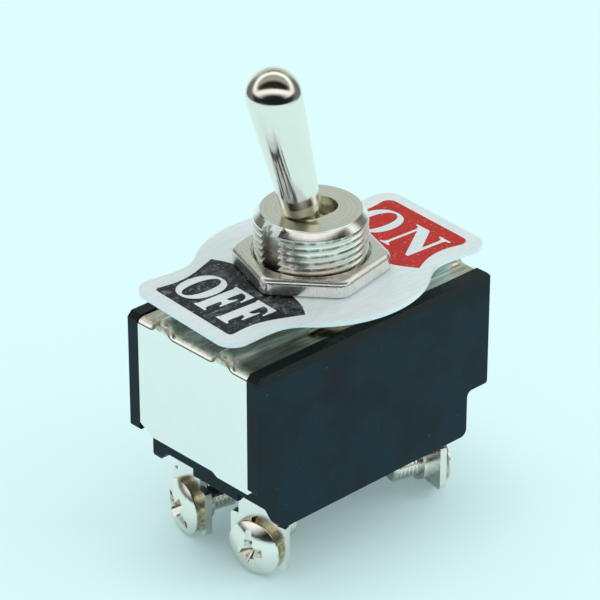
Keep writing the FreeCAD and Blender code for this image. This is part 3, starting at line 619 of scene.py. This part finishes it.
def evaluated(obj):
    """The object with its modifiers applied, as a new plain mesh."""
    graph = bpy.context.evaluated_depsgraph_get()
    return bpy.data.meshes.new_from_object(obj.evaluated_get(graph))


def new_object(name, mesh):
    obj = bpy.data.objects.new(name, mesh)
    bpy.context.scene.collection.objects.link(obj)
    return obj


def groove(crest, pitch, turns, depth, metal):
    """A helical groove in millimetres, from z = 0 upwards round the Z axis."""
    obj = new_object("groove", bpy.data.meshes.new("groove"))
    modifier = obj.modifiers.new("groove", "NODES")
    modifier.node_group = GROOVE
    values = {"Crest radius": crest + OVERCUT, "Pitch": pitch, "Turns": turns, "Depth": depth + OVERCUT,
              "Mouth": pitch * 0.97, "Root": pitch * 0.16, "Metal": metal}
    for item in GROOVE.interface.items_tree:
        if item.in_out == "INPUT":
            modifier[item.identifier] = values[item.name]
    mesh = evaluated(obj)
    bpy.data.objects.remove(obj)
    return mesh


BUSHING_PITCH = 0.75
BUSHING_TURNS = 6.0
BUSHING_DEPTH = 0.42
bushing_groove = groove(CREST, BUSHING_PITCH, BUSHING_TURNS, BUSHING_DEPTH, bushing_finish)
print("bushing groove faces:", len(bushing_groove.polygons))

# %% [markdown]
# ### Cutting the groove
# The pieces of the frame are loose triangles. A Boolean needs a closed skin, so the
# copy has its doubled corners merged first. After the cut, edges sharper than twenty
# degrees stay crisp and the rest is shaded smooth. The new piece then takes the place
# of the plain one and rides on the same body.

# %% Copies and cuts
MERGE = 0.0005
CRISP_FROM = math.radians(20)


def closed_copy(node):
    """The node's solid as one closed skin in millimetres, without the frame's own normals."""
    mesh = NODES[node].data.copy()
    mesh.transform(Matrix.Scale(1 / MM, 4))
    skin = bmesh.new()
    skin.from_mesh(mesh)
    bmesh.ops.remove_doubles(skin, verts=skin.verts, dist=MERGE)
    bmesh.ops.dissolve_degenerate(skin, edges=skin.edges, dist=MERGE)
    skin.to_mesh(mesh)
    skin.free()
    for attribute in [a for a in mesh.attributes if a.name in ("custom_normal", "sharp_edge", "sharp_face")]:
        mesh.attributes.remove(attribute)
    return mesh


def cut_out(name, mesh, cutters, finish):
    """A piece on the switch's body: the mesh in millimetres less the cutters."""
    piece = new_object(name, mesh)
    for cutter in cutters:
        tool = new_object("tool", cutter)
        cut = piece.modifiers.new("cut", "BOOLEAN")
        cut.operation = "DIFFERENCE"
        cut.solver = "EXACT"
        cut.object = tool
        result = evaluated(piece)
        bpy.data.objects.remove(tool)
        piece.modifiers.clear()
        piece.data = result
    result.transform(Matrix.Scale(MM, 4))
    give_finish(result, finish)
    result.shade_smooth()
    result.set_sharp_from_angle(angle=CRISP_FROM)
    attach(piece, "switch_body")
    print(name, "triangles:", sum(len(p.vertices) - 2 for p in result.polygons))
    return piece


def placed(mesh, place):
    """A copy of the mesh, moved."""
    moved = mesh.copy()
    moved.transform(place)
    return moved


# %% [markdown]
# ### The bushing
# On the real bushing the bevel round the top is narrower and taller than in the
# frame. Two rings of corners make that bevel, so moving them is enough. Where the
# keyway crosses the bevel, a corner has to stay in the keyway's wall, and only its x
# changes.

# %% Threaded bushing
NUT_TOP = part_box("mounting_nut")[1].z / MM
FRAME_BEVEL, BEVEL = (1.0, 0.6), (0.65, 0.9)
KEYWAY_HALF = 1.2


def steeper_bevel(mesh):
    """Moves the bevel's two rings of corners from the frame's width and height to the real ones."""
    inner, outer = CREST - FRAME_BEVEL[0], CREST
    for vertex in mesh.vertices:
        radius = vertex.co.to_2d().length
        if abs(vertex.co.z - BUSHING_TOP) < 0.01 and abs(radius - inner) < 0.02:
            wanted = CREST - BEVEL[0]
        elif abs(vertex.co.z - BUSHING_TOP + FRAME_BEVEL[1]) < 0.01 and abs(radius - outer) < 0.02:
            wanted = CREST
            vertex.co.z = BUSHING_TOP - BEVEL[1]
        else:
            continue
        if vertex.co.x < 0 and abs(abs(vertex.co.y) - KEYWAY_HALF) < 0.01:
            vertex.co.x = -(wanted ** 2 - vertex.co.y ** 2) ** 0.5
        else:
            vertex.co.x *= wanted / radius
            vertex.co.y *= wanted / radius
    return mesh


groove_place = Matrix.Translation((0, 0, NUT_TOP - BUSHING_PITCH))
bushing_piece = cut_out("bushing_threaded", steeper_bevel(closed_copy("bushing")),
                        [placed(bushing_groove, groove_place)], bushing_finish)
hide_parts("bushing")

# %% [markdown]
# ## Terminal screws
# The heads are pan heads with a slot and a cross. Under a lens they are flatter and a
# little smaller than the plain solids of the frame, and sit a little lower, so the
# screws are drawn here. A screw is a turned outline, as from a lathe: a shank, and a
# head whose crown is part of a sphere. The head's points can be moved as a whole,
# which lowers it on its shank.

# %% Screw outline
SHANK_RADIUS = 1.5
SHANK_END = -5.2
HEAD_RADIUS = 3.06
HEAD_SEAT = 0.6
HEAD_BAND = 0.22
HEAD_RISE = 0.88
STEPS = 96
CROWN_TOP = HEAD_SEAT + HEAD_BAND + HEAD_RISE
CROWN_SPHERE = (HEAD_RADIUS ** 2 + HEAD_RISE ** 2) / (2 * HEAD_RISE)


def crown_point(part):
    """A point of the crown, at a part of the head's radius."""
    radius = HEAD_RADIUS * part
    return radius, CROWN_TOP - CROWN_SPHERE + (CROWN_SPHERE ** 2 - radius ** 2) ** 0.5


def turned(shank, head, drop):
    """A round solid from points (radius, height). The head's points are moved by drop."""
    skin = bmesh.new()
    rings = []
    for points, shift in ((shank, Vector((0, 0, 0))), (head, drop)):
        for radius, level in points:
            angles = [2 * math.pi * k / STEPS for k in range(STEPS if radius else 1)]
            rings.append([skin.verts.new(shift + Vector((radius * math.cos(a), radius * math.sin(a), level)))
                          for a in angles])
    for low, high in zip(rings, rings[1:]):
        for k in range(STEPS):
            corners = [low[k % len(low)], low[(k + 1) % len(low)], high[(k + 1) % len(high)], high[k % len(high)]]
            skin.faces.new([c for i, c in enumerate(corners) if c not in corners[:i]])
    bmesh.ops.recalc_face_normals(skin, faces=skin.faces)
    mesh = bpy.data.meshes.new("turned")
    skin.to_mesh(mesh)
    skin.free()
    return mesh


shank = [(0, SHANK_END), (SHANK_RADIUS - 0.3, SHANK_END), (SHANK_RADIUS, SHANK_END + 0.3), (SHANK_RADIUS, HEAD_SEAT)]
head = [(HEAD_RADIUS - 0.08, HEAD_SEAT), (HEAD_RADIUS, HEAD_SEAT + 0.08)]
head += [crown_point(part) for part in (1, 0.96, 0.91, 0.85, 0.78, 0.70, 0.62, 0.53, 0.44, 0.35, 0.26, 0.17, 0.08, 0)]
print("screw outline:", len(shank) + len(head), "points, crown at", round(CROWN_TOP, 2))

# %% [markdown]
# ### What is cut out of a screw
# The thread is a second groove from the same tree. The slot and the cross are bars
# that narrow downwards, as the bit of a screwdriver does: a long one that runs out
# of the head at both sides, and two short, deep ones that cross in its middle.

# %% Screw cutters
def tapered_bar(top_length, top_width, low_length, low_width, depth):
    """A bar along X that narrows downwards from z = 0.2 to -depth."""
    corners = [(x * length / 2, y * width / 2, z)
               for length, width, z in ((low_length, low_width, -depth), (top_length, top_width, 0.2))
               for x, y in ((-1, -1), (1, -1), (1, 1), (-1, 1))]
    mesh = bpy.data.meshes.new("bar")
    sides = [(0, 1, 5, 4), (1, 2, 6, 5), (2, 3, 7, 6), (3, 0, 4, 7)]
    mesh.from_pydata(corners, [], [(3, 2, 1, 0), (4, 5, 6, 7)] + sides)
    return mesh


SCREW_PITCH = 0.5
SCREW_TURNS = 9.4
SCREW_DEPTH = 0.27
slot_bar = tapered_bar(7.0, 0.80, 7.0, 0.72, 0.50)
cross_bar = tapered_bar(3.7, 1.15, 0.9, 0.6, 1.35)
cross_bar_along = tapered_bar(3.3, 1.15, 0.9, 0.6, 1.34)
screw_groove = groove(SHANK_RADIUS, SCREW_PITCH, SCREW_TURNS, SCREW_DEPTH, screw_finish)
print("screw groove faces:", len(screw_groove.polygons))

# %% [markdown]
# ### The four screws
# The blades are splayed, so each screw's axis is turned 12.6 degrees from the
# housing's length, and which corner the screw is at gives the rest. Each was tightened
# by hand, so the four slots lean in different directions.

# %% Screws
SPLAY = math.radians(12.6)
BLADE_FACE = (12.5, 5.3, 3.3)
HEAD_DROP = 0.15
SLOT_LEAN = {"near_off": 98.0, "far_off": -38.0, "near_on": 30.0, "far_on": -50.0}
UP = Vector((0, 0, 1))

for corner, lean in SLOT_LEAN.items():
    end = -1 if corner.endswith("off") else 1
    side = -1 if corner.startswith("near") else 1
    outward = Vector((end * math.cos(SPLAY), side * math.sin(SPLAY), 0))
    turn = outward.to_track_quat("Z", "Y").to_matrix()
    drop = turn.inverted() @ (UP * -HEAD_DROP)
    lateral = turn.inverted() @ UP.cross(outward)
    slot_turn = math.atan2(lateral.y, lateral.x) + math.radians(lean)
    on_head = Matrix.Translation(drop + UP * CROWN_TOP) @ Matrix.Rotation(slot_turn, 4, "Z")
    cutters = [placed(screw_groove, Matrix.Translation(UP * (SHANK_END - SCREW_PITCH / 2))),
               placed(slot_bar, on_head),
               placed(cross_bar, on_head @ Matrix.Rotation(math.pi / 2, 4, "Z")),
               placed(cross_bar_along, on_head)]
    place = Matrix.Translation((end * BLADE_FACE[0], side * BLADE_FACE[1], BLADE_FACE[2])) @ turn.to_4x4()
    body = placed(turned(shank, head, drop), place)
    piece = cut_out("screw_" + corner, body, [placed(cutter, place) for cutter in cutters], screw_finish)
    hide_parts("terminal_screw_" + corner)

# %% [markdown]
# ## Plunger springs
# Each plunger slides up 0.8 mm into the carrier and presses its coil spring together.
# The frame's spring can't change its shape, so a copy stands in for it.

# %% Springs
for side in ("near", "far"):
    node = "plunger_spring_" + side
    coil = closed_copy(node)
    coil.transform(Matrix.Scale(MM, 4))
    give_finish(coil, steel_finish)
    coil.shade_smooth()
    piece = new_object("coil_" + side, coil)
    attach(piece, "lever_body")
    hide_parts(node)
    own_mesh(piece)

# %% [markdown]
# ## Printed fields
# On the plate the letters are bare metal: the ink is printed round them. So each
# field is one flat outline with the letters as holes in it. A curve that is filled
# on both sides does this by itself, since a closed line inside another one becomes a
# hole, and a third one inside that, such as the middle of the O, is filled again.
# The letters are drawn as outlines, with u along the word and v up the
# letter, in millimetres.

# %% Letters
OVAL_STEPS = 72
SQUARENESS = 2.2


def oval(centre, half_width, half_height):
    """A closed oval, a little squarer than an ellipse."""
    points = []
    for step in range(OVAL_STEPS):
        angle = 2 * math.pi * step / OVAL_STEPS
        c, s = math.cos(angle), math.sin(angle)
        points.append((centre[0] + half_width * math.copysign(abs(c) ** (2 / SQUARENESS), c),
                       centre[1] + half_height * math.copysign(abs(s) ** (2 / SQUARENESS), s)))
    return points


LETTER_F = [
    (-0.15, 0), (1.68, 0), (1.68, 0.26), (1.36, 0.38), (1.25, 0.70), (1.25, 2.32), (1.58, 2.28), (1.78, 2.08),
    (1.88, 1.65), (2.12, 1.65), (2.12, 3.92), (1.90, 3.92), (1.80, 3.46), (1.60, 3.22), (1.25, 3.14), (1.25, 5.08),
    (1.85, 5.04), (2.26, 4.76), (2.48, 4.32), (2.56, 3.76), (2.80, 3.76), (2.78, 5.50), (-0.15, 5.50),
    (-0.15, 5.26), (0.00, 5.05), (0.00, 0.50), (-0.15, 0.28)]
LETTER_N = [
    (0.20, 0), (1.62, 0), (1.62, 0.24), (1.22, 0.36), (1.10, 0.75), (1.10, 4.42), (4.28, 0.0), (4.70, 0.0),
    (4.70, 4.75), (4.84, 5.08), (5.29, 5.20), (5.29, 5.45), (3.58, 5.45), (3.58, 5.20), (4.06, 5.08), (4.22, 4.72),
    (4.22, 2.38), (1.98, 5.45), (0.00, 5.45), (0.00, 5.20), (0.46, 5.08), (0.70, 4.76), (0.70, 0.75), (0.58, 0.36),
    (0.20, 0.24)]


def shifted(outline, u, v):
    """The outline moved along the word and up the letter."""
    return [(a + u, b + v) for a, b in outline]


OFF_BASE = -14.2
ON_BASE = 9.0
off_letters = [
    oval((-3.50, -11.46), 2.13, 2.76), oval((-3.50, -11.46), 0.98, 2.36),
    shifted(LETTER_F, -1.14, OFF_BASE), shifted(LETTER_F, 2.42, OFF_BASE)]
on_letters = [
    oval((-3.20, 11.74), 2.36, 2.82), oval((-3.20, 11.74), 1.22, 2.44),
    shifted(LETTER_N, 0.0, ON_BASE)]
print("letter outlines:", len(off_letters) + len(on_letters))

# %% [markdown]
# ### The fields' outlines
# The fields follow the plate: straight at the outer end, drawn in at the sides and
# spreading again to a point beside the nut. Only one side of each is written down,
# and the other is its mirror image.

# %% Fields
RUN_STEPS = 8


def both_sides(half):
    """A closed outline from the points on one side of the plate's middle line."""
    return half + [(-u, v) for u, v in reversed(half)]


def smooth_run(points):
    """A smooth line through the given points."""
    ends = [points[0]] + points + [points[-1]]
    run = []
    for a, b, c, d in zip(ends, ends[1:], ends[2:], ends[3:]):
        for step in range(RUN_STEPS):
            t = step / RUN_STEPS
            run.append(tuple(
                0.5 * (2 * b[k] + (c[k] - a[k]) * t + (2 * a[k] - 5 * b[k] + 4 * c[k] - d[k]) * t ** 2
                       + (3 * b[k] - a[k] - 3 * c[k] + d[k]) * t ** 3) for k in (0, 1)))
    return run + [points[-1]]


def arc(centre, radius, flip, angles):
    """Points of a rounded corner, from the field's end towards its side."""
    return [(centre[0] + radius * math.sin(a), centre[1] + flip * radius * math.cos(a)) for a in angles]


black_corner = arc((5.68, -14.95), 0.45, -1, (0.0, 0.4, 0.8, 1.2))
black_side = smooth_run([(6.11, -14.90), (5.90, -13.30), (5.98, -11.60), (6.36, -10.10), (6.95, -8.60), (7.60, -7.00)])
black_inner = smooth_run([(7.60, -7.00), (6.20, -6.25), (4.70, -5.75), (2.40, -5.40)])[1:]
red_corner = arc((5.35, 15.15), 0.95, 1, (0.0, 0.3, 0.6, 0.9, 1.2, 1.5, 1.72))
red_side = smooth_run([(6.27, 14.90), (5.98, 13.20), (6.04, 11.60), (6.34, 10.35), (6.84, 9.20), (7.42, 8.20)])
red_inner = smooth_run([(7.42, 8.20), (6.05, 7.20), (4.85, 6.55), (2.40, 6.10)])[1:]
BLACK_FIELD = both_sides(black_corner + black_side + black_inner)
RED_FIELD = both_sides(red_corner + red_side + red_inner)
print("outline points:", len(BLACK_FIELD), len(RED_FIELD))

# %% [markdown]
# ### Laying the ink down
# The curve gives a film as thin as real ink. It is made a mesh, its doubled corners
# are merged, and it is turned with the plate and laid on its top. The print sits a
# little towards the OFF end of the plate.

# %% Ink films
INK = 0.02
PRINT_SHIFT = -0.23


def print_field(name, outlines, ink):
    """An ink film with letters left open, turned with the plate and laid on its top."""
    curve = bpy.data.curves.new(name, "CURVE")
    curve.dimensions = "2D"
    curve.fill_mode = "BOTH"
    curve.extrude = INK / 2
    for outline in outlines:
        spline = curve.splines.new("POLY")
        spline.points.add(len(outline) - 1)
        for point, (u, v) in zip(spline.points, outline):
            point.co = (v + PRINT_SHIFT, -u, 0, 1)
        spline.use_cyclic_u = True
    drawn = new_object(name + "_drawn", curve)
    mesh = evaluated(drawn)
    bpy.data.objects.remove(drawn)
    lift = Matrix.Translation(PLATE_PLACE + Vector((0, 0, PLATE_TOP + INK / 2)))
    mesh.transform(Matrix.Scale(MM, 4) @ lift @ Matrix.Rotation(PLATE_TURN, 4, "Z"))
    skin = bmesh.new()
    skin.from_mesh(mesh)
    bmesh.ops.remove_doubles(skin, verts=skin.verts, dist=1e-7)
    bmesh.ops.recalc_face_normals(skin, faces=skin.faces)
    open_edges = sum(1 for edge in skin.edges if not edge.is_manifold)
    skin.to_mesh(mesh)
    skin.free()
    give_finish(mesh, ink)
    piece = new_object(name, mesh)
    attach(piece, "switch_body")
    print(name, "faces:", len(mesh.polygons), "open edges:", open_edges)


print_field("off_field", [BLACK_FIELD] + off_letters, black_ink)
print_field("on_field", [RED_FIELD] + on_letters, red_ink)

# %% [markdown]
# ## Floor
# The switch stands on a pale sheet. The sheet glows a little for the camera and for
# mirrors, which keeps it pale without more light on the switch, and it still takes
# the shadow. Under the housing the glow fades, since a real sheet is dark there. Far
# out the sheet is clear for mirrors, so that metal shows the room and not a horizon.

# %% Floor
PALE = (0.735, 0.985, 0.985)
FLOOR_HALF = 0.6
FLOOR_LEVEL = -0.00005
SHADE_HALF_LENGTH, SHADE_HALF_WIDTH = 14.5, 8.5


def sheet_finish():
    """A matte sheet that glows by itself for the camera and for mirrors."""
    f = Finish("floor_sheet", {"Base Color": PALE, "Roughness": 0.7, "Specular IOR Level": 0.1})
    f.bump(f.noise(0.5, 2.0), 0.01, 0.3)
    x, y = f.coordinate("X"), f.coordinate("Y")
    past_housing = larger(abs(x) - SHADE_HALF_LENGTH, abs(y) - SHADE_HALF_WIDTH)
    to_camera = f.ray("Camera") * between(f.mask(past_housing, -4.0, 15.0), 0.20, 0.62)
    to_mirror = f.ray("Glossy") * f.mask(past_housing, -2.0, 7.0) * 0.60
    glow = f.node("ShaderNodeEmission", {}, {"Color": PALE})
    sheet = f.node("ShaderNodeMixShader", {}, {
        0: to_camera + to_mirror, 1: Wire(f, f.shader.outputs[0]), 2: glow})
    far_out = f.mask((x * x + y * y) ** 0.5, 150.0, 190.0)
    whole = f.node("ShaderNodeMixShader", {}, {
        0: f.ray("Glossy") * far_out, 1: sheet, 2: f.node("ShaderNodeBsdfTransparent")})
    f.feed(f.tree.nodes["Material Output"], "Surface", whole)
    return f.done()


sheet = bpy.data.meshes.new("floor")
sheet.from_pydata([(x * FLOOR_HALF, y * FLOOR_HALF, 0) for x, y in ((-1, -1), (1, -1), (1, 1), (-1, 1))],
                  [], [(0, 1, 2, 3)])
sheet.materials.append(sheet_finish())
floor = new_object("floor", sheet)
floor.location.z = FLOOR_LEVEL

# %% [markdown]
# ## Lamps
# Two large lamps and an even white sky light paint and plastic softly. The lamps are
# hidden from mirrors, because bright metal would show them as hard squares: what
# metal shows is set up on its own below.

# %% Lamps
SWITCH_MIDDLE = Vector((0, 0, 0.02))


def lamp(name, place, size, watts):
    data = bpy.data.lights.new(name, "AREA")
    data.shape = "RECTANGLE"
    data.size, data.size_y = size
    data.energy = watts
    obj = bpy.data.objects.new(name, data)
    obj.location = place
    obj.rotation_euler = (SWITCH_MIDDLE - Vector(place)).to_track_quat("-Z", "Y").to_euler()
    obj.visible_glossy = False
    bpy.context.scene.collection.objects.link(obj)
    print(name, "distance in mm:", round((SWITCH_MIDDLE - Vector(place)).length / MM))


lamp("key_right", (0.42, -0.40, 0.42), (0.34, 0.30), 1.1)
lamp("top_soft", (-0.05, 0.15, 0.62), (0.40, 0.40), 1.0)

# %% [markdown]
# ## The room that metal shows
# The dome of the lever is a small round mirror, so it shows all that is round it: a
# loop of white screens overhead, dark between them, grey behind and black where the
# camera stands. The world's tree draws that room from the way of each ray. Its parts
# are masks on how far the way lies towards the camera, to the side and up.

# %% Room
class Room(NodeBoard):
    """The world's node tree, which draws a room from the way of each ray."""

    def __init__(self, name):
        world = bpy.data.worlds.new(name)
        bpy.context.scene.world = world
        world.use_nodes = True
        super().__init__(world.node_tree)
        self.background = self.tree.nodes["Background"]
        self.way = self.node("ShaderNodeTexCoord", out="Generated")


towards = (EYE - AIM).to_2d().normalized()
room = Room("studio")
forward = room.along(room.way, (towards.x, towards.y, 0))
sideways = room.along(room.way, (-towards.y, towards.x, 0))
height = room.along(room.way, (0, 0, 1))
print("the camera stands at", round(math.degrees(math.atan2(towards.y, towards.x)), 1), "degrees")

# %% [markdown]
# ### Walls and screens
# The room is painted from the outside in, each part over the last: haze near the
# horizon, a grey wall and a dark ceiling, the grey sides, the black camera side, and
# then the white screens, an oval with a grey gap in its middle that turns black
# towards the camera.

# %% Walls and screens
HAZE = (0.76, 0.96, 0.97)
WALL = (0.51, 0.57, 0.51)
CEILING = (0.13, 0.145, 0.125)
SIDES = (0.15, 0.16, 0.14)
CAMERA_SIDE = (0.010, 0.012, 0.012)
SCREENS = (1.08, 1.11, 1.07)
GAP = (0.36, 0.39, 0.36)
GAP_NEAR_CAMERA = (0.016, 0.012, 0.008)


def oval_mask(centre, half_forward, half_sideways):
    """1 inside an oval overhead, 0 outside it."""
    ahead = (forward - centre) / half_forward
    across = sideways / half_sideways
    return room.mask(ahead * ahead + across * across, 1.16, 0.84)


above = room.mask(height, 0.03, 0.16)
screens = oval_mask(0.09, 0.78, 1.02) * above
gap = oval_mask(0.11, 0.53, 0.90) * above
view = room.mix(room.mask(height, 0.02, 0.42), HAZE, WALL)
view = room.mix(room.mask(height, 0.46, 0.72), view, CEILING)
view = room.mix(room.mask(abs(sideways), 0.45, 0.78), view, SIDES)
view = room.mix(room.mask(forward, -0.15, 0.30), view, CAMERA_SIDE)
view = room.mix(screens, view, SCREENS)
view = room.mix(gap, view, GAP)
view = room.mix(gap * room.mask(forward, -0.05, 0.22), view, GAP_NEAR_CAMERA)
print("world nodes:", len(room.tree.nodes))

# %% [markdown]
# ### What each kind of ray sees
# Mirrors see the room. The camera sees the pale haze of the sheet, so that the
# background has no edge, and diffuse light is an even white.

# %% Rays
SKY = (0.68, 0.69, 0.70)
mirrored = larger(room.ray("Glossy"), room.ray("Transmission"))
light = room.mix(mirrored, room.mix(room.ray("Camera"), SKY, HAZE), view)
room.feed(room.background, "Color", light)
room.feed(room.background, "Strength", 1.0)
bpy.context.scene.view_settings.view_transform = "Standard"
print("world nodes with the rays:", len(room.tree.nodes))
